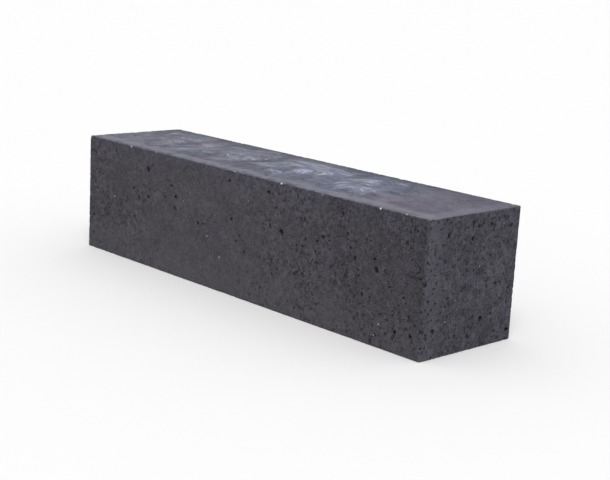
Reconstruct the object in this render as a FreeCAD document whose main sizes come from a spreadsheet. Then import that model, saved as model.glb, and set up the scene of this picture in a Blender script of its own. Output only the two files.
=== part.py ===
import FreeCAD, Part

import os

import Sketcher

# Retaining wall block: one solid piece of pressed concrete, laid dry in courses.
# X runs along its length, Y across it, Z up. The front face looks along -Y.
# The origin is the middle of the bed face that the block rests on.

# Driving sizes in mm, each under the word that names it in the sheet.
BLOCK_SIZES = [
    ("block_length", 600.0),
    ("block_depth", 150.0),
    ("block_height", 150.0),
    ("mould_corner", 3.0),
    ("top_arris", 1.5),
    ("foot_arris", 1.0),
]

# Two places nearer each other than this are one place, in mm.
SAME_PLACE = 0.01


def add_sheet(document, sizes):
    """The sheet of driving sizes, one row each: the name, then its value."""
    sheet = document.addObject("Spreadsheet::Sheet", "Sizes")
    for row, (alias, size) in enumerate(sizes, start=1):
        sheet.set(f"A{row}", alias)
        sheet.set(f"B{row}", str(size))
        sheet.setAlias(f"B{row}", alias)
    document.recompute()
    return sheet


def origin_plane(body, role):
    """The body's own origin plane that has this role."""
    return next(plane for plane in body.Origin.OriginFeatures if plane.Role == role)


def add_dimension(sketch, kind, edge, start_size, name, alias):
    """A dimension along one line of the sketch, bound to its cell in the sheet."""
    index = sketch.addConstraint(Sketcher.Constraint(kind, edge, 1, edge, 2, start_size))
    sketch.renameConstraint(index, name)
    sketch.setExpression(f"Constraints.{name}", f"Sizes.{alias}")


def add_outline(body, sheet):
    """The outline of the bed face: a rectangle with its middle on the origin."""
    sketch = body.newObject("Sketcher::SketchObject", "BedOutline")
    sketch.AttachmentSupport = [(origin_plane(body, "XY_Plane"), "")]
    sketch.MapMode = "FlatFace"

    half_length = sheet.block_length / 2
    half_depth = sheet.block_depth / 2
    corners = [
        FreeCAD.Vector(-half_length, -half_depth, 0),
        FreeCAD.Vector(half_length, -half_depth, 0),
        FreeCAD.Vector(half_length, half_depth, 0),
        FreeCAD.Vector(-half_length, half_depth, 0),
    ]
    front, right, back, left = range(4)
    start_point, end_point = 1, 2
    origin_point = (-1, 1)

    for side in (front, right, back, left):
        ends = corners[side], corners[(side + 1) % 4]
        sketch.addGeometry(Part.LineSegment(*ends), False)
    for side in (front, right, back, left):
        following = (side + 1) % 4
        meeting = (side, end_point, following, start_point)
        sketch.addConstraint(Sketcher.Constraint("Coincident", *meeting))
    for side in (front, back):
        sketch.addConstraint(Sketcher.Constraint("Horizontal", side))
    for side in (right, left):
        sketch.addConstraint(Sketcher.Constraint("Vertical", side))
    opposite_corners = (front, start_point, back, start_point)
    sketch.addConstraint(Sketcher.Constraint("Symmetric", *opposite_corners, *origin_point))

    add_dimension(sketch, "DistanceX", front, sheet.block_length, "length", "block_length")
    add_dimension(sketch, "DistanceY", right, sheet.block_depth, "depth", "block_depth")
    return sketch


def add_pad(body, outline):
    """The pressed block, as tall as one course."""
    pad = body.newObject("PartDesign::Pad", "Course")
    pad.Profile = outline
    pad.setExpression("Length", "Sizes.block_height")
    outline.Visibility = False
    return pad


def add_rounding(body, name, base, is_wanted, alias):
    """Rounds the edges of the base that is_wanted picks, to the radius in the sheet."""
    edges = [
        f"Edge{number}"
        for number, edge in enumerate(base.Shape.Edges, start=1)
        if is_wanted(edge.BoundBox)
    ]
    fillet = body.newObject("PartDesign::Fillet", name)
    fillet.Base = (base, edges)
    fillet.setExpression("Radius", f"Sizes.{alias}")
    body.Document.recompute()
    return fillet


def add_block(document, sheet):
    """The whole block: the pressed shape, its mould corners, then its two rims."""
    body = document.addObject("PartDesign::Body", "WallBlock")
    body.Label = "wall_block"

    def stands_up(box):
        return box.ZLength > SAME_PLACE

    def is_top_rim(box):
        return box.ZMin > sheet.block_height - SAME_PLACE

    def is_foot_rim(box):
        return box.ZMax < SAME_PLACE

    pad = add_pad(body, add_outline(body, sheet))
    document.recompute()
    corners = add_rounding(body, "MouldCorners", pad, stands_up, "mould_corner")
    top = add_rounding(body, "TopArris", corners, is_top_rim, "top_arris")
    add_rounding(body, "FootArris", top, is_foot_rim, "foot_arris")
    return body


def check_document(document, bodies):
    """Stops the build where an object failed or a solid isn't sound."""
    for item in document.Objects:
        if {"Invalid", "Error"} & set(item.State):
            raise RuntimeError(f"{item.Label} failed: {item.State}")
    for body in bodies:
        shape = body.Shape
        if shape.isNull() or not shape.isValid() or len(shape.Solids) != 1:
            raise RuntimeError(f"{body.Label} is not one sound solid")


def write_bodies(bodies, folder):
    """Writes one STEP file for each body, under the body's Label."""
    os.makedirs(folder, exist_ok=True)
    for body in bodies:
        body.Shape.exportStep(f"{folder}/{body.Label}.step")
        box = body.Shape.optimalBoundingBox(True, False)
        print(
            f"{body.Label}: {box.XLength:.1f} x {box.YLength:.1f} x {box.ZLength:.1f} mm, "
            f"{body.Shape.Volume / 1e6:.4f} litres"
        )


document = FreeCAD.newDocument("RetainingWallBlock")
sizes = add_sheet(document, BLOCK_SIZES)
bodies = [add_block(document, sizes)]
document.recompute()
check_document(document, bodies)
write_bodies(bodies, "parts")
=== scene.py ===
import math
import random
from itertools import product

import bmesh
import bpy
from mathutils import Euler, Matrix, Vector, noise


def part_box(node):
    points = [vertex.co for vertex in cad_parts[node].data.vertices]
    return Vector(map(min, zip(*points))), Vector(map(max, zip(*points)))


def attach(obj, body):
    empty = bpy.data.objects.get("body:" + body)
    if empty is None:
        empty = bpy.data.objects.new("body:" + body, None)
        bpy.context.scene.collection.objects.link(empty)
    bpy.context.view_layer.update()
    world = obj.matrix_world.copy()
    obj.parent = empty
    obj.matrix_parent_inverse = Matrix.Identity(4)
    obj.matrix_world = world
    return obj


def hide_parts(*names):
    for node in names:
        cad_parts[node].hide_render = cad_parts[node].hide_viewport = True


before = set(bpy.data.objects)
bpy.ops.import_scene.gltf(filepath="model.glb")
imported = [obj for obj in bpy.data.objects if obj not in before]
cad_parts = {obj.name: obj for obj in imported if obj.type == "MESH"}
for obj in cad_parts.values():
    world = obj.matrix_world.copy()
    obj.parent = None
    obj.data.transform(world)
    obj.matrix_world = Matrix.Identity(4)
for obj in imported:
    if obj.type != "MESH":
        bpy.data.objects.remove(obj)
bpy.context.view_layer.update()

# Retaining wall block, dark grey pressed concrete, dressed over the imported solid.
# Metres. X runs along the block, the front face looks along -Y, Z is up.

blockName = "wall_block"
low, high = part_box(blockName)
middle = (low + high) / 2
half = (high - low) / 2


# The pressed body

bodyMake = {
    "step": 0.0041,          # spacing of the working grid on the flats
    "longEdge": 0.05,        # an edge longer than this is cut into steps
    "mouldCorner": 0.003,    # rounding of the four upright corners
    "topArris": 0.0015,      # rounding of the top rim
    "footArris": 0.001,      # rounding of the bottom rim
    "roundSegments": 4,
    "rimCuts": 2,            # extra cuts along each rounded edge, between two grid lines
    "rimEdge": 0.6,          # they go into edges longer than this share of a step
    "waveDepth": 0.00025,    # slow unevenness of the faces
    "wave": (0.05, 0.0),     # size of its features, and where in the noise it starts
    "gritDepth": 0.00012,    # coarse sandy unevenness
    "grit": (0.006, 7.3),
    "crumbleDepth": 0.0011,  # how deep the edges have crumbled
    "bite": (0.0045, 3.1),   # the bites out of them,
    "biteShare": 0.65,
    "nibble": (0.0018, 5.7), # finer ones among them,
    "nibbleShare": 0.35,
    "stretch": (0.03, 11.9), # and stretches of edge with more of both
    "stretchShare": 0.25,
    "biteFrom": 0.62,        # bites start where the noise is above this,
    "biteSlope": 2.2,        # and deepen this fast
    "sharpAngle": 38,        # the broken edges are shaded sharp from this many degrees
}

samePlace = 1e-6             # lengths that differ by less are taken as equal
rimSlack = 1e-5
alongAxis = 0.999            # least share of its length that an edge has along its axis


def edgesWhere(bm, test):
    return [edge for edge in bm.edges if test(edge.verts[0].co, edge.verts[1].co)]


def roundEdges(bm, edges, radius):
    bmesh.ops.bevel(
        bm, geom=edges, offset=radius, offset_type="OFFSET", segments=bodyMake["roundSegments"],
        profile=0.5, affect="EDGES", material=-1, clamp_overlap=True,
    )


def bothAt(axis, value):
    return lambda a, b: abs(a[axis] - value) < samePlace and abs(b[axis] - value) < samePlace


def runsAlong(axis, a, b):
    return abs((b - a).normalized()[axis]) > alongAxis


def planeDistances(co):
    # how far a point lies inside each pair of opposite faces, X, Y and Z
    return [half[axis] - abs(co[axis] - middle[axis]) for axis in range(3)]


def nearRim(co):
    # on a rounded edge two of the three distances are small
    return sorted(planeDistances(co))[1] < bodyMake["mouldCorner"] + rimSlack


def pressedBody():
    bm = bmesh.new()
    bmesh.ops.create_cube(bm, size=1.0)
    bmesh.ops.scale(bm, vec=half * 2, verts=bm.verts)
    bmesh.ops.translate(bm, vec=middle, verts=bm.verts)

    # the corners of the mould, then the two rims
    roundEdges(bm, edgesWhere(bm, lambda a, b: runsAlong(2, a, b)), bodyMake["mouldCorner"])
    roundEdges(bm, edgesWhere(bm, bothAt(2, high.z)), bodyMake["topArris"])
    roundEdges(bm, edgesWhere(bm, bothAt(2, low.z)), bodyMake["footArris"])

    # the working grid, one direction at a time
    for axis in range(3):
        longEdges = edgesWhere(
            bm, lambda a, b: runsAlong(axis, a, b) and (b - a).length > bodyMake["longEdge"])
        cuts = round(half[axis] * 2 / bodyMake["step"]) - 1
        bmesh.ops.subdivide_edges(bm, edges=longEdges, cuts=cuts, use_grid_fill=True)

    # a finer one along the rounded edges
    def alongRim(a, b):
        return nearRim(a) and nearRim(b) and (b - a).length > bodyMake["step"] * bodyMake["rimEdge"]

    rimEdges = edgesWhere(bm, alongRim)
    bmesh.ops.subdivide_edges(bm, edges=rimEdges, cuts=bodyMake["rimCuts"], use_grid_fill=True)
    return bm


def unevenAt(co, layer):
    # a smooth value from 0 to 1
    size, shift = bodyMake[layer]
    return 0.5 + 0.5 * noise.noise(co / size + Vector((shift, shift, shift)))


def settleSurface(bm):
    # every point moves a little into the block: slow waves, sandy grit, crumbled edges
    bm.normal_update()
    moves = []
    for vert in bm.verts:
        co = vert.co
        depth = bodyMake["waveDepth"] * unevenAt(co, "wave")
        depth += bodyMake["gritDepth"] * unevenAt(co, "grit")
        if nearRim(co):
            bite = unevenAt(co, "bite") * bodyMake["biteShare"]
            bite += unevenAt(co, "nibble") * bodyMake["nibbleShare"]
            bite += bodyMake["stretchShare"] * unevenAt(co, "stretch") - bodyMake["biteFrom"]
            depth += bodyMake["crumbleDepth"] * max(0.0, bite) * bodyMake["biteSlope"]
        moves.append(depth)
    for vert, depth in zip(bm.verts, moves):
        vert.co -= vert.normal * depth


# Open pores and broken crumbs, cut out of the body

# name: axis and sign of the outward direction, and the two axes that span the face
faceAxes = {
    "front": (1, -1, 0, 2),
    "back": (1, 1, 0, 2),
    "left": (0, -1, 1, 2),
    "right": (0, 1, 1, 2),
    "top": (2, 1, 0, 1),
    "bottom": (2, -1, 0, 1),
}

cutterMake = {
    "coarseBelow": 0.0008,   # cutters of a smaller radius have fewer faces
    "swell": 0.97,           # size of a ball without its lumps, in radii
    "lump": 0.55,            # height of its lumps, in radii
    "lumpCount": 1.1,        # how many there are to a radius
    "jag": 0.13,             # and how far each of its points strays
    "shuffle": 50,           # reach of the noise that the lumps are taken from
    "squash": (0.6, 1.3),    # pressed or stretched along the face
    "bigCell": 0.01,         # cell sizes for keeping big and small cutters apart
    "smallCell": 0.004,
}


def pointOn(side, across, up):
    axis, sign, first, second = faceAxes[side]
    place = Vector(middle)
    place[axis] += sign * half[axis]
    place[first] += across * half[first]
    place[second] += up * half[second]
    return place


class Cutters:
    # cutters kept clear of each other, so that their mesh stays a clean solid
    def __init__(self, cell):
        self.bm = bmesh.new()
        self.cell = cell
        self.taken = {}

    def free(self, place, reach):
        home = tuple(math.floor(c / self.cell) for c in place)
        for near in product(*((h - 1, h, h + 1) for h in home)):
            for other, far in self.taken.get(near, ()):
                if (place - other).length < reach + far:
                    return False
        self.taken.setdefault(home, []).append((place, reach))
        return True

    def add(self, rng, place, radius, flat, outward):
        # a lumpy, jagged ball, turned at random and pressed flat towards the face
        ball = bmesh.new()
        fineness = 1 if radius < cutterMake["coarseBelow"] else 2
        bmesh.ops.create_icosphere(ball, subdivisions=fineness, radius=radius)
        lumps = Vector([rng.uniform(0, cutterMake["shuffle"]) for _ in range(3)])
        for vert in ball.verts:
            lump = noise.noise(vert.co * (cutterMake["lumpCount"] / radius) + lumps)
            jag = rng.uniform(-cutterMake["jag"], cutterMake["jag"])
            vert.co *= cutterMake["swell"] + cutterMake["lump"] * lump + jag
        turn = Euler([rng.uniform(0, 2 * math.pi) for _ in range(3)]).to_matrix().to_4x4()
        across = Matrix.Rotation(rng.uniform(0, math.pi), 4, outward) @ outward.orthogonal()
        squash = Matrix.Scale(rng.uniform(*cutterMake["squash"]), 4, across)
        squash = Matrix.Scale(flat, 4, outward) @ squash
        bmesh.ops.transform(ball, matrix=Matrix.Translation(place) @ squash @ turn, verts=ball.verts)
        ballMesh = bpy.data.meshes.new("ball")
        ball.to_mesh(ballMesh)
        ball.free()
        self.bm.from_mesh(ballMesh)
        bpy.data.meshes.remove(ballMesh)


poreMake = {
    "seed": 20,
    "smallest": 0.0006,      # radius
    "largest": 0.0038,
    "falloff": 1.25,         # how much rarer the large ones are
    "perSquareMetre": {
        "front": 8200, "back": 8200, "left": 12500, "right": 12500, "top": 900, "bottom": 1500,
    },
    "tries": 12,             # most places tried for each pore
    "cluster": 0.032,        # size of the loose clusters
    "group": 0.012,          # size of the small groups in them
    "groupShare": 0.9,
    "groupShift": 9,
    "anywhere": 0.05,        # chance of a pore outside the clusters
    "clustering": 1.7,
    "endMore": 0.5,          # more of them towards the ends,
    "endFrom": 0.2,          # from this share of each half onwards,
    "leftShare": 0.6,        # and fewer of those on the left,
    "upMore": 0.25,          # and more high up on the right
    "clearance": 1.45,       # room that each one keeps, in radii
    "lift": (0.1, 0.55),     # how far its middle stands off the face, in radii
    "flat": (0.8, 1.3),      # its depth, as a share of its width
}


def poreRadius(rng):
    # many small pores, few large ones
    power = poreMake["falloff"]
    span = (poreMake["smallest"] / poreMake["largest"]) ** power
    return poreMake["smallest"] / (1 - rng.random() * (1 - span)) ** (1 / power)


def poreChance(place, up, axis):
    # pores lie in loose clusters, thicker towards the ends and, on the right, towards the top
    shift = Vector((poreMake["groupShift"],) * 3)
    crowd = noise.noise(place / poreMake["cluster"])
    crowd += poreMake["groupShare"] * noise.noise(place / poreMake["group"] + shift)
    endShare = 1.0 if place.x > 0 else poreMake["leftShare"]
    towardsEnd = poreMake["endMore"] * max(0.0, abs(place.x) / half.x - poreMake["endFrom"]) * endShare
    upwards = poreMake["upMore"] * up * max(0.0, place.x) / half.x if axis != 2 else 0.0
    return poreMake["anywhere"] + poreMake["clustering"] * crowd + towardsEnd + upwards


def poreCutters(side, rng, bigOnes, smallOnes):
    axis, sign, first, second = faceAxes[side]
    outward = Vector((0, 0, 0))
    outward[axis] = sign
    area = 4 * half[first] * half[second]
    wanted = round(area * poreMake["perSquareMetre"][side])
    made = 0
    for _ in range(wanted * poreMake["tries"]):
        if made == wanted:
            break
        across, up = rng.uniform(-1, 1), rng.uniform(-1, 1)
        place = pointOn(side, across, up)
        if rng.random() > poreChance(place, up, axis):
            continue
        radius = poreRadius(rng)
        cutters = bigOnes if radius >= cutterMake["coarseBelow"] else smallOnes
        if not cutters.free(place, radius * poreMake["clearance"]):
            continue
        lift = radius * rng.uniform(*poreMake["lift"])
        cutters.add(rng, place + outward * lift, radius, rng.uniform(*poreMake["flat"]), outward)
        made += 1
    return made


crumbMake = {
    "spacing": 0.008,        # one crumb for about this much edge
    "smallest": 0.0009,      # radius
    "largest": 0.0040,
    "falloff": 3.5,          # how much rarer the large ones are
    "lift": (0.25, 0.6),     # how far its middle stands off the edge, in radii,
    "liftShare": (0.2, 1),   # and how much of that on each of the two faces
    "clearance": 1.6,
    "flat": (0.7, 1.1),
}


def crumbCutters(rng, cutters):
    # crumbs out of the twelve edges
    made = 0
    for axis, signA, signB in product(range(3), (-1, 1), (-1, 1)):
        first, second = (a for a in range(3) if a != axis)
        outward = Vector((0, 0, 0))
        outward[first], outward[second] = signA, signB
        outward.normalize()
        for _ in range(round(half[axis] * 2 / crumbMake["spacing"])):
            span = crumbMake["largest"] - crumbMake["smallest"]
            radius = crumbMake["smallest"] + span * rng.random() ** crumbMake["falloff"]
            place = Vector(middle)
            place[axis] += rng.uniform(-1, 1) * half[axis]
            lift = radius * rng.uniform(*crumbMake["lift"])
            place[first] += signA * (half[first] + lift * rng.uniform(*crumbMake["liftShare"]))
            place[second] += signB * (half[second] + lift * rng.uniform(*crumbMake["liftShare"]))
            if cutters.free(place, radius * crumbMake["clearance"]):
                cutters.add(rng, place, radius, rng.uniform(*crumbMake["flat"]), outward)
                made += 1
    return made


def meshObject(bm, name):
    mesh = bpy.data.meshes.new(name + "Mesh")
    bm.to_mesh(mesh)
    bm.free()
    made = bpy.data.objects.new(name, mesh)
    bpy.context.scene.collection.objects.link(made)
    return made


def cutAway(target, cutter):
    taken = target.modifiers.new("cut", "BOOLEAN")
    taken.operation = "DIFFERENCE"
    taken.solver = "MANIFOLD"
    taken.object = cutter
    depsgraph = bpy.context.evaluated_depsgraph_get()
    cutMesh = bpy.data.meshes.new_from_object(target.evaluated_get(depsgraph), depsgraph=depsgraph)
    target.modifiers.clear()
    target.data = cutMesh
    bpy.data.objects.remove(cutter)


# What the finish reads: how deep a point lies, for the painted shade inside the pores, how near an edge,
# and whether it is the top

markMake = {
    "hollowFrom": 0.0004,    # a point this deep starts to take the painted shade inside the pores,
    "hollowSpan": 0.0012,    # and this much deeper it does so fully
    "arrisReach": 0.006,     # width of the marked rims
}

bakeSheet = {"width": 0.76, "height": 0.624, "gap": 0.004}  # what the faces are laid out on


def depthUnder(co):
    # depth under the unbroken rounded block
    radius = bodyMake["topArris"]
    over = [max(0.0, radius - d) for d in planeDistances(co)]
    if sum(o > 0 for o in over) < 2:
        return min(planeDistances(co))
    return radius - math.sqrt(sum(o * o for o in over))


def markSurface(mesh):
    poreShade = mesh.attributes.new("poreShade", "FLOAT", "POINT")
    arris = mesh.attributes.new("arris", "FLOAT", "POINT")
    topSide = mesh.attributes.new("topSide", "FLOAT", "POINT")
    for index, vert in enumerate(mesh.vertices):
        distances = planeDistances(vert.co)
        deep = (depthUnder(vert.co) - markMake["hollowFrom"]) / markMake["hollowSpan"]
        poreShade.data[index].value = min(1.0, max(0.0, deep))
        arris.data[index].value = max(0.0, 1 - sorted(distances)[1] / markMake["arrisReach"])
        isTop = vert.co.z > middle.z and distances[2] < min(distances[0], distances[1])
        topSide.data[index].value = float(isTop)


def layOutFaces(mesh):
    # six flat panels on one sheet: the four long faces above each other, the ends beside them
    gap = bakeSheet["gap"]
    panels = {}
    for row, side in enumerate(("front", "top", "back", "bottom")):
        panels[side] = (gap, gap + row * (half.z * 2 + gap))
    panels["left"] = (half.x * 2 + 2 * gap, gap)
    panels["right"] = (half.x * 2 + 2 * gap, 2 * gap + half.z * 2)
    uv = mesh.uv_layers.new(name="OFBake")
    for polygon in mesh.polygons:
        centre = polygon.center
        distances = planeDistances(centre)
        axis = distances.index(min(distances))
        sign = 1 if centre[axis] > middle[axis] else -1
        side = next(name for name, way in faceAxes.items() if way[0] == axis and way[1] == sign)
        first, second = faceAxes[side][2:]
        for loop in polygon.loop_indices:
            co = mesh.vertices[mesh.loops[loop].vertex_index].co - low
            place = panels[side][0] + co[first], panels[side][1] + co[second]
            uv.data[loop].uv = place[0] / bakeSheet["width"], place[1] / bakeSheet["height"]


print("block: pressing the body")
body = pressedBody()
settleSurface(body)
print("block:", len(body.verts), "points on the body")
block = meshObject(body, "dressed_block")

print("block: opening the pores")
rng = random.Random(poreMake["seed"])
bigOnes, smallOnes = Cutters(cutterMake["bigCell"]), Cutters(cutterMake["smallCell"])
crumbs = crumbCutters(rng, bigOnes)
pores = sum(poreCutters(side, rng, bigOnes, smallOnes) for side in faceAxes)
print("block:", crumbs, "crumbs,", pores, "pores")
cutAway(block, meshObject(bigOnes.bm, "bigCutters"))
cutAway(block, meshObject(smallOnes.bm, "smallCutters"))
markSurface(block.data)
layOutFaces(block.data)
block.data.shade_smooth()
block.data.set_sharp_from_angle(angle=math.radians(bodyMake["sharpAngle"]))
triangles = sum(len(p.vertices) - 2 for p in block.data.polygons)
print("block:", triangles, "triangles")
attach(block, "root")
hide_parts(blockName)


# The finish: matt anthracite concrete with a smoother, paler, smeared top

evenTone = 0.5               # noise lies about this value


class Finish:
    # short ways to add and join nodes
    def __init__(self, name):
        self.material = bpy.data.materials.new(name)
        self.material.use_nodes = True
        self.nodes = self.material.node_tree.nodes
        self.links = self.material.node_tree.links
        self.shader = self.nodes["Principled BSDF"]
        self.place = self.nodes.new("ShaderNodeTexCoord").outputs["Object"]

    def feed(self, value, socket):
        if isinstance(value, bpy.types.NodeSocket):
            self.links.new(value, socket)
        else:
            socket.default_value = value

    def maths(self, operation, first, second=0.0, third=0.0):
        made = self.nodes.new("ShaderNodeMath")
        made.operation = operation
        for socket, value in zip(made.inputs, (first, second, third)):
            self.feed(value, socket)
        return made.outputs[0]

    def times(self, *values):
        total = values[0]
        for value in values[1:]:
            total = self.maths("MULTIPLY", total, value)
        return total

    def most(self, first, second):
        return self.maths("MAXIMUM", first, second)

    def blend(self, *shares):
        # a weighted sum of (value, weight) pairs
        total = self.times(*shares[0])
        for value, weight in shares[1:]:
            total = self.maths("MULTIPLY_ADD", value, weight, total)
        return total

    def band(self, value, start, end, before=0.0, after=1.0):
        # goes smoothly from one number to the other, as the value goes from start to end
        made = self.nodes.new("ShaderNodeMapRange")
        made.interpolation_type = "SMOOTHSTEP"
        for name, item in (("Value", value), ("From Min", start), ("From Max", end),
                           ("To Min", before), ("To Max", after)):
            self.feed(item, made.inputs[name])
        return made.outputs[0]

    def between(self, share, none, full):
        return self.band(share, 0.0, 1.0, none, full)

    def mix(self, share, first, second, way="MIX"):
        made = self.nodes.new("ShaderNodeMix")
        made.data_type = "RGBA"
        made.blend_type = way
        self.feed(share, made.inputs["Factor"])
        self.feed(first, made.inputs[6])     # the node's A, B and result for colours
        self.feed(second, made.inputs[7])
        return made.outputs[2]

    def ramp(self, value, *stops):
        made = self.nodes.new("ShaderNodeValToRGB")
        ramp = made.color_ramp
        while len(ramp.elements) < len(stops):
            ramp.elements.new(evenTone)
        for element, (position, colour) in zip(ramp.elements, stops):
            element.position = position
            element.color = colour
        self.feed(value, made.inputs[0])
        return made.outputs[0]

    def toned(self, tone, look):
        # the dark, middle and light colour of one surface
        start, end = look["contrast"]
        return self.ramp(tone, (start, look["dark"]), (evenTone, look["middle"]), (end, look["light"]))

    def moved(self, shift, place=None):
        made = self.nodes.new("ShaderNodeMapping")
        made.inputs["Location"].default_value = shift
        self.feed(place or self.place, made.inputs["Vector"])
        return made.outputs[0]

    def cloud(self, size, detail=2.0, rough=0.5, warp=0.0, shift=(0, 0, 0), place=None):
        # noise whose features are about this size, in metres
        made = self.nodes.new("ShaderNodeTexNoise")
        self.feed(self.moved(shift, place), made.inputs["Vector"])
        made.inputs["Scale"].default_value = 1 / size
        made.inputs["Detail"].default_value = detail
        made.inputs["Roughness"].default_value = rough
        made.inputs["Distortion"].default_value = warp
        return made.outputs["Fac"]

    def swing(self, reach, **layer):
        # noise on both sides of zero, spread over this reach
        return self.times(self.maths("SUBTRACT", self.cloud(**layer), evenTone), reach)

    def dots(self, spacing, share, largest, shift=(0, 0, 0), solid=0.5):
        # round spots: this share of the cells hold one, up to this radius, in cell widths,
        # and it is solid up to this share of its radius
        made = self.nodes.new("ShaderNodeTexVoronoi")
        self.feed(self.moved(shift), made.inputs["Vector"])
        made.inputs["Scale"].default_value = 1 / spacing
        split = self.nodes.new("ShaderNodeSeparateColor")
        self.feed(made.outputs["Color"], split.inputs[0])
        radius = self.band(split.outputs[0], 1 - share, 1.0, 0.0, largest)
        return self.band(made.outputs["Distance"], self.times(radius, solid), radius, 1.0, 0.0)

    def read(self, name):
        made = self.nodes.new("ShaderNodeAttribute")
        made.attribute_name = name
        return made.outputs["Fac"]

    def parts(self, vector):
        made = self.nodes.new("ShaderNodeSeparateXYZ")
        self.feed(vector, made.inputs[0])
        return made.outputs[:]

    def vector(self, *values):
        made = self.nodes.new("ShaderNodeCombineXYZ")
        for socket, value in zip(made.inputs, values):
            self.feed(value, socket)
        return made.outputs[0]


# In the dictionaries below a layer of noise gives its size in metres, and a band gives where it
# starts and ends, then the numbers before and after it, which are 0 and 1 where it gives none.

concreteLook = {
    "fine": {"size": 0.0034},
    "medium": {"size": 0.0082, "shift": (1, 2, 3)},
    "sand": {"size": 0.0013, "rough": 0.6, "shift": (5, 5, 5)},
    "sandShade": (0.36, 0.64, -0.36, 0.36),  # a grain is darker below 0 and paler above it
    # near black: painted shade inside the pores and pinholes, and the colour of the dark specks and sand
    # grains
    "darkSpeckAndPoreShade": (0.010, 0.009, 0.011, 1),
    "poreShadeStrength": 0.85,
    "grain": (0.45, 0.45, 0.46, 1),
    "grainDots": {"spacing": 0.0060, "share": 0.014, "largest": 0.22, "shift": (3, 3, 3)},
    "grainPale": 0.8,
    "worn": (0.120, 0.116, 0.126, 1),
    "wornWidth": (0.7, 1.0),         # 0 where the marked rim begins, 1 on its edge
    "wornPatches": (0.4, 0.6, 0.1, 0.5),
    "rimGrain": (0.50, 0.50, 0.52, 1),
    "rimGrainDots": {"spacing": 0.009, "share": 1.0, "largest": 0.30, "shift": (8, 2, 6)},
    "rimGrainWidth": (0.55, 0.8),
    "rimGrainHeight": (high.z - 0.005, high.z - 0.003),
    "roughness": (0.92, 0.8),        # of the sides and of the top
    "specular": 0.22,
    "reliefDepth": 0.0012,
    "reliefStrength": (0.85, 0.3),   # of the sides and of the top
    "fineRelief": 0.4,
    "sandRelief": 1.2,
    "pinRelief": -0.5,
    "speckRelief": -0.5,
}

speckLook = {
    "speck": {"size": 0.0052, "detail": 4.0, "rough": 0.62, "warp": 0.3, "shift": (1, 5, 2)},
    "speckEdge": (0.555, 0.635),
    "pinDots": {"spacing": 0.0038, "share": 0.6, "largest": 0.27},
    "crowd": {"size": 0.035, "shift": (6, 1, 4)},
    "crowdEdge": (0.38, 0.62),
    "ends": (high.x - 0.004, high.x - 0.002),
    "betweenCrowds": (0.35, 0.70),   # what is left of the specks there, on the sides and the ends
    "inCrowds": 1.0,
    "endMore": (1.0, 1.08),
    "rightMore": (0.0, 0.10, 0.5, 1.3),
    "leftMore": (low.x + 0.03, low.x + 0.15, 1.3, 0.5),
}


def specks(f, x):
    # ragged specks in loose crowds, thicker towards the two ends
    onEnds = f.band(f.maths("ABSOLUTE", x), *speckLook["ends"])
    fewest = f.between(onEnds, *speckLook["betweenCrowds"])
    crowd = f.band(f.cloud(**speckLook["crowd"]), *speckLook["crowdEdge"], fewest, speckLook["inCrowds"])
    towardsEnds = f.most(f.band(x, *speckLook["rightMore"]), f.band(x, *speckLook["leftMore"]))
    crowd = f.times(crowd, towardsEnds, f.between(onEnds, *speckLook["endMore"]))
    speck = f.band(f.cloud(**speckLook["speck"]), *speckLook["speckEdge"])
    return crowd, f.times(speck, crowd)


sideLook = {
    "dark": (0.0265, 0.0242, 0.0305, 1),
    "middle": (0.0546, 0.0490, 0.0586, 1),
    "light": (0.091, 0.083, 0.096, 1),
    "contrast": (0.36, 0.64),
    "fineShare": 0.40,       # shares of the tone
    "mediumShare": 0.46,
    "slow": {"size": 0.040, "detail": 3.0, "rough": 0.6, "shift": (4, 1, 2)},
    "slowShare": 0.22,
    "mottleLeast": 0.42,     # strength of the mottling where there are no specks,
    "mottleMore": 0.60,      # and what a crowd of them adds
    "speckDepth": 0.80,
    "pinholeShade": 0.5,
    "others": (high.x - 0.004, high.x - 0.002, 1.0, 0.0),    # every side but the right end
    "shade": (0.0236, 0.0247, 0.0305, 1),
    "cornerSlow": (0.06, high.x - 0.02, 0.0, 0.58),      # the long sides darken to the right,
    "cornerFast": (high.x - 0.028, high.x - 0.014, 0.0, 0.45),
    "cornerDark": 0.47,
    "leftDark": (low.x + 0.02, low.x + 0.14, 0.10, 0.0),     # and a little to the left
    "end": (high.x - 0.004, high.x - 0.001),                 # the right end
    "stripWidth": (low.y + 0.012, low.y + 0.034, 1.0, 0.0),  # paler strip on it, at the front corner
    "stripHeight": (0.0, high.z, 0.75, 1.0),
    "stripPale": 0.55,
    "endPale": 0.085,        # the whole end a little paler
    "footPale": (0.0, 0.065, 0.36, 0.0),     # paler along the foot of the other sides,
    "centreShift": 0.03,     # and a little left of their middle
    "centrePale": (0.02, 0.24, 0.09, 0.0),
    "coolTint": (0.90, 0.975, 1.085, 1),
    "coolPatch": {"size": 0.06, "shift": (8, 6, 3)},
    "coolPatches": (0.48, 0.66, 0.0, 0.3),
    "coolTop": (high.z - 0.024, high.z - 0.006, 0.0, 0.85),
    "coolEnd": 0.85,
}


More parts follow.
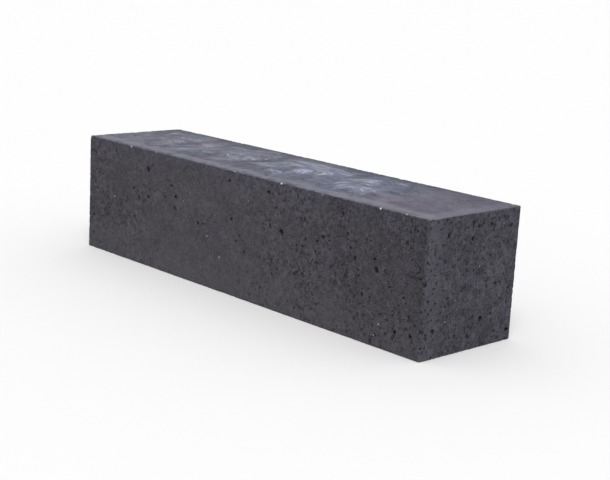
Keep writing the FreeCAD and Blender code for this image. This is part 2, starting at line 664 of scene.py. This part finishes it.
def sideColour(f, fine, medium, crowd, speck, pin):
    # the mottling and the pinholes are fainter where the specks are few
    x, y, z = f.parts(f.place)
    look = sideLook
    strength = f.blend((crowd, look["mottleMore"]), (1.0, look["mottleLeast"]))
    mottled = f.blend((fine, look["fineShare"]), (medium, look["mediumShare"]),
                      (-evenTone, look["fineShare"] + look["mediumShare"]))
    tone = f.blend((mottled, strength), (f.cloud(**look["slow"]), look["slowShare"]),
                   (evenTone, 1 - look["slowShare"]))
    colour = f.toned(tone, look)
    # the long sides darken towards their ends, and the right end is paler at the front corner
    onOthers, onEnd = f.band(x, *look["others"]), f.band(x, *look["end"])
    towards = f.maths("ADD", f.band(x, *look["cornerSlow"]), f.band(x, *look["cornerFast"]))
    shaded = f.most(f.times(towards, look["cornerDark"]), f.band(x, *look["leftDark"]))
    colour = f.mix(f.times(shaded, onOthers), colour, look["shade"])
    strip = f.times(f.band(y, *look["stripWidth"]), f.band(z, *look["stripHeight"]), look["stripPale"])
    colour = f.mix(f.times(f.maths("ADD", strip, look["endPale"]), onEnd), colour, look["light"])
    fromCentre = f.maths("ABSOLUTE", f.maths("ADD", x, look["centreShift"]))
    paler = f.maths("ADD", f.band(z, *look["footPale"]), f.band(fromCentre, *look["centrePale"]))
    colour = f.mix(f.times(paler, onOthers), colour, look["light"])
    # cooler in patches, along the top and on the end
    cool = f.most(f.band(f.cloud(**look["coolPatch"]), *look["coolPatches"]), f.band(z, *look["coolTop"]))
    cool = f.most(cool, f.times(onEnd, look["coolEnd"]))
    colour = f.mix(cool, colour, look["coolTint"], "MULTIPLY")
    colour = f.mix(f.times(speck, look["speckDepth"]), colour, concreteLook["darkSpeckAndPoreShade"])
    # painted shade in the pinholes, which are too small for the mesh
    return f.mix(f.times(pin, strength, look["pinholeShade"]), colour, concreteLook["darkSpeckAndPoreShade"])


plainEnd = high.x - 0.125    # the top is plain right of here
smearSpacing = 0.120         # from the middle of one smear to the next, along the block

smearLook = {
    "first": 0.010,          # middle of one of them
    "stray": {"size": 0.13, "detail": 1.0, "shift": (2.3, 0.4, 1.0)},
    "strayReach": 1.3,       # how far they stray from even spacing, in steps
    "centre": -0.045,        # centre of the arcs, across the block
    "bend": {"size": 0.055, "detail": 1.0, "shift": (1, 7, 5)},
    "bendReach": 0.050,
    "inside": (0.014, 0.036),            # radii where the arcs begin and end
    "outside": (0.092, 0.118, 1.0, 0.0),
    "sides": (0.30 * smearSpacing, 0.48 * smearSpacing, 1.0, 0.0),
    "patch": {"size": 0.036, "detail": 3.0, "rough": 0.6, "warp": 0.8, "shift": (3, 8, 2)},
    "patches": (0.38, 0.60, 0.25, 1.0),
    "rightward": (low.x, plainEnd - 0.02, 0.75, 1.15),
    "rightEnd": (plainEnd - 0.02, plainEnd + 0.02, 1.0, 0.1),
    "frontEnd": (low.y + 0.0168, low.y + 0.042),
    "backEnd": (high.y - 0.03, high.y, 1.0, 0.3),
    "veil": 0.23,            # strength of the soft part of a smear
    "streak": 0.76,          # strength of the strokes in it
    "stroke": {"size": 0.0050, "detail": 4.0, "rough": 0.66, "warp": 0.25},
    "strokeEdge": (0.49, 0.63),
    "strokeBend": 0.0068,    # strokes get longer as this gets smaller
    "strokeShift": 0.37,     # keeps those of one smear unlike the next one's
}


def smears(f, x, y):
    # pale smears in nested arcs, one set after another along the block
    look = smearLook
    steps = f.maths("DIVIDE", f.maths("SUBTRACT", x, look["first"]), smearSpacing)
    steps = f.maths("ADD", steps, f.swing(look["strayReach"], **look["stray"]))
    nearest = f.maths("ROUND", steps)
    along = f.times(f.maths("SUBTRACT", steps, nearest), smearSpacing)
    across = f.maths("SUBTRACT", y, look["centre"])
    radius = f.maths("SQRT", f.maths("ADD", f.times(along, along), f.times(across, across)))
    radius = f.maths("ADD", radius, f.swing(look["bendReach"], **look["bend"]))
    turn = f.maths("ARCTAN2", across, along)
    # the strokes are noise laid out by radius and turn, so that they follow the arcs
    arcPlace = f.vector(radius, f.times(turn, look["strokeBend"]), f.times(nearest, look["strokeShift"]))
    strokes = f.band(f.cloud(**look["stroke"], place=arcPlace), *look["strokeEdge"])
    veil = f.times(
        f.band(radius, *look["inside"]),
        f.band(radius, *look["outside"]),
        f.band(f.maths("ABSOLUTE", along), *look["sides"]),
        f.band(f.cloud(**look["patch"]), *look["patches"]),
        f.band(x, *look["rightward"]),
        f.band(x, *look["rightEnd"]),
        f.band(y, *look["frontEnd"]),
        f.band(y, *look["backEnd"]),
    )
    return f.blend((veil, look["veil"]), (f.times(veil, strokes), look["streak"]))


topLook = {
    "dark": (0.049, 0.055, 0.085, 1),
    "middle": (0.098, 0.101, 0.139, 1),
    "light": (0.164, 0.165, 0.213, 1),
    "contrast": (0.42, 0.59),
    "patch": {"size": 0.045, "detail": 3.0, "rough": 0.55, "warp": 1.2, "shift": (7, 3, 1)},
    "patchShare": 0.36,      # shares of the tone
    "fineShare": 0.18,
    "mottle": {"size": 0.012, "detail": 4.0, "rough": 0.7, "warp": 0.6, "shift": (2, 5, 1)},
    "mottleShare": 0.46,
    "plain": (0.117, 0.094, 0.131, 1),
    "plainStart": plainEnd - 0.02,
    "plainFull": high.x - 0.06,
    "plainShare": 0.5,
    "backDark": (high.y - 0.075, high.y, 0.0, 0.42),
    # the rims of the top: paler skin, with a painted highlight where they catch the light
    "edge": (0.200, 0.197, 0.236, 1),
    "edgeShake": {"size": 0.02, "detail": 3.0, "rough": 0.65, "shift": (9, 2, 4)},
    "edgeReach": 0.03,
    "frontRim": (low.y + 0.002, low.y + 0.010),              # paler band behind the front rim, lighter skin with a painted highlight of the rim catching the light
    "frontBand": (low.y + 0.015, low.y + 0.028, 0.72, 0.0),
    "endRim": (high.x - 0.028, high.x - 0.0112, 0.0, 0.28),  # and along the right one
    "bloom": (0.385, 0.402, 0.505, 1),
    "hue": {"size": 0.05, "shift": (6, 2, 8)},
    "huePatches": (0.36, 0.64),
    "hueRightward": (-0.08, 0.10, -0.30, 0.30),
    "warmTint": (1.020, 1.0, 0.955, 1),
    "coolTint": (0.955, 1.0, 1.060, 1),
}


def topColour(f, fine):
    # a smooth blue-grey skin, plain and purplish at the right end and darker towards the back
    x, y, _ = f.parts(f.place)
    look = topLook
    tone = f.blend((f.cloud(**look["patch"]), look["patchShare"]), (fine, look["fineShare"]),
                   (f.cloud(**look["mottle"]), look["mottleShare"]))
    colour = f.toned(tone, look)
    atEnd = f.band(x, look["plainStart"], look["plainFull"])
    colour = f.mix(f.times(atEnd, look["plainShare"]), colour, look["plain"])
    colour = f.mix(f.band(y, *look["backDark"]), colour, look["dark"])
    # paler along the front rim and the right one, lighter skin with a painted highlight where the rims
    # catch the light, then the smears
    shaky = f.maths("ADD", y, f.swing(look["edgeReach"], **look["edgeShake"]))
    frontRimPaleAndHighlight = f.times(f.band(shaky, *look["frontRim"]), f.band(shaky, *look["frontBand"]))
    colour = f.mix(f.most(frontRimPaleAndHighlight, f.band(x, *look["endRim"])), colour, look["edge"])
    colour = f.mix(smears(f, x, y), colour, look["bloom"])
    # warmer and cooler in slow patches, cooler right of the middle, not at the plain end
    hue = f.band(f.cloud(**look["hue"]), *look["huePatches"])
    hue = f.maths("ADD", hue, f.band(x, *look["hueRightward"]))
    tint = f.mix(hue, look["warmTint"], look["coolTint"])
    return f.mix(f.maths("SUBTRACT", 1.0, atEnd), colour, f.mix(1.0, colour, tint, "MULTIPLY"))


def concreteFinish():
    f = Finish("anthraciteConcrete")
    look = concreteLook
    topSide, poreShade, arris = f.read("topSide"), f.read("poreShade"), f.read("arris")
    x, _, z = f.parts(f.place)
    sand, fine, medium = (f.cloud(**look[layer]) for layer in ("sand", "fine", "medium"))
    crowd, speck = specks(f, x)
    pin = f.dots(**speckLook["pinDots"])
    colour = f.mix(topSide, sideColour(f, fine, medium, crowd, speck, pin), topColour(f, fine))

    # each grain of sand a little darker or paler than the next
    sandy = f.band(sand, *look["sandShade"])
    colour = f.mix(f.most(sandy, 0.0), colour, sideLook["light"])
    colour = f.mix(f.most(f.times(sandy, -1.0), 0.0), colour, look["darkSpeckAndPoreShade"])
    colour = f.mix(f.times(f.dots(**look["grainDots"]), look["grainPale"]), colour, look["grain"])
    # painted shade: darker the deeper a point lies inside the pores
    colour = f.mix(f.times(poreShade, look["poreShadeStrength"]), colour, look["darkSpeckAndPoreShade"])
    worn = f.times(f.band(arris, *look["wornWidth"]), f.band(medium, *look["wornPatches"]))
    colour = f.mix(worn, colour, look["worn"])
    # white grains laid bare along the top rim
    onRim = f.times(f.band(arris, *look["rimGrainWidth"]), f.band(z, *look["rimGrainHeight"]))
    colour = f.mix(f.times(f.dots(**look["rimGrainDots"]), onRim), colour, look["rimGrain"])
    f.feed(colour, f.shader.inputs["Base Color"])
    f.feed(f.between(topSide, *look["roughness"]), f.shader.inputs["Roughness"])
    f.feed(look["specular"], f.shader.inputs["Specular IOR Level"])

    # sandy relief below the size of the mesh
    relief = f.blend((fine, look["fineRelief"]), (sand, look["sandRelief"]),
                     (pin, look["pinRelief"]), (speck, look["speckRelief"]))
    bump = f.nodes.new("ShaderNodeBump")
    f.feed(look["reliefDepth"], bump.inputs["Distance"])
    f.feed(f.between(topSide, *look["reliefStrength"]), bump.inputs["Strength"])
    f.feed(relief, bump.inputs["Height"])
    f.feed(bump.outputs[0], f.shader.inputs["Normal"])
    return f.material


print("block: mixing the finish")
block.data.materials.clear()
block.data.materials.append(concreteFinish())


# Studio: pale floor, soft light from above, camera where the photograph was taken from, aimed at the block

studio = {
    "floorSize": 60.0,
    "floorColour": (0.74, 0.74, 0.74, 1),
    "floorRoughness": 0.9,
    "sky": (1.0, 1.0, 1.0, 1),
    "skyPower": 0.85,
    "lampTurn": (25, 27, 0),  # tips the overhead light towards the camera's side, in degrees
    "lampSpread": 26,
    "lampPower": 1.9,
    "cameraPlace": (1.107, -1.026, 0.4065),
    "cameraTurn": (77.09, -3.13, 46.72),
    "lens": 75,
}


def makeStudio():
    bm = bmesh.new()
    bmesh.ops.create_grid(bm, x_segments=4, y_segments=4, size=studio["floorSize"] / 2)
    floor = meshObject(bm, "floor")
    paint = bpy.data.materials.new("paleFloor")
    paint.use_nodes = True
    floorShader = paint.node_tree.nodes["Principled BSDF"]
    floorShader.inputs["Base Color"].default_value = studio["floorColour"]
    floorShader.inputs["Roughness"].default_value = studio["floorRoughness"]
    floor.data.materials.append(paint)

    world = bpy.data.worlds.new("paleRoom")
    bpy.context.scene.world = world
    world.use_nodes = True
    sky = world.node_tree.nodes["Background"]
    sky.inputs["Color"].default_value = studio["sky"]
    sky.inputs["Strength"].default_value = studio["skyPower"]

    # a very wide sun stands for a large softbox overhead, the same all over the floor
    lamp = bpy.data.lights.new("softbox", "SUN")
    lamp.angle = math.radians(studio["lampSpread"])
    lamp.energy = studio["lampPower"]
    softbox = bpy.data.objects.new("softbox", lamp)
    softbox.rotation_euler = [math.radians(turn) for turn in studio["lampTurn"]]
    bpy.context.scene.collection.objects.link(softbox)

    camera = bpy.data.cameras.new("photoCamera")
    camera.lens = studio["lens"]
    cameraObject = bpy.data.objects.new("photoCamera", camera)
    cameraObject.location = studio["cameraPlace"]
    cameraObject.rotation_euler = [math.radians(turn) for turn in studio["cameraTurn"]]
    bpy.context.scene.collection.objects.link(cameraObject)
    bpy.context.scene.camera = cameraObject
    bpy.context.scene.view_settings.view_transform = "Standard"


print("studio: floor, light and camera")
makeStudio()
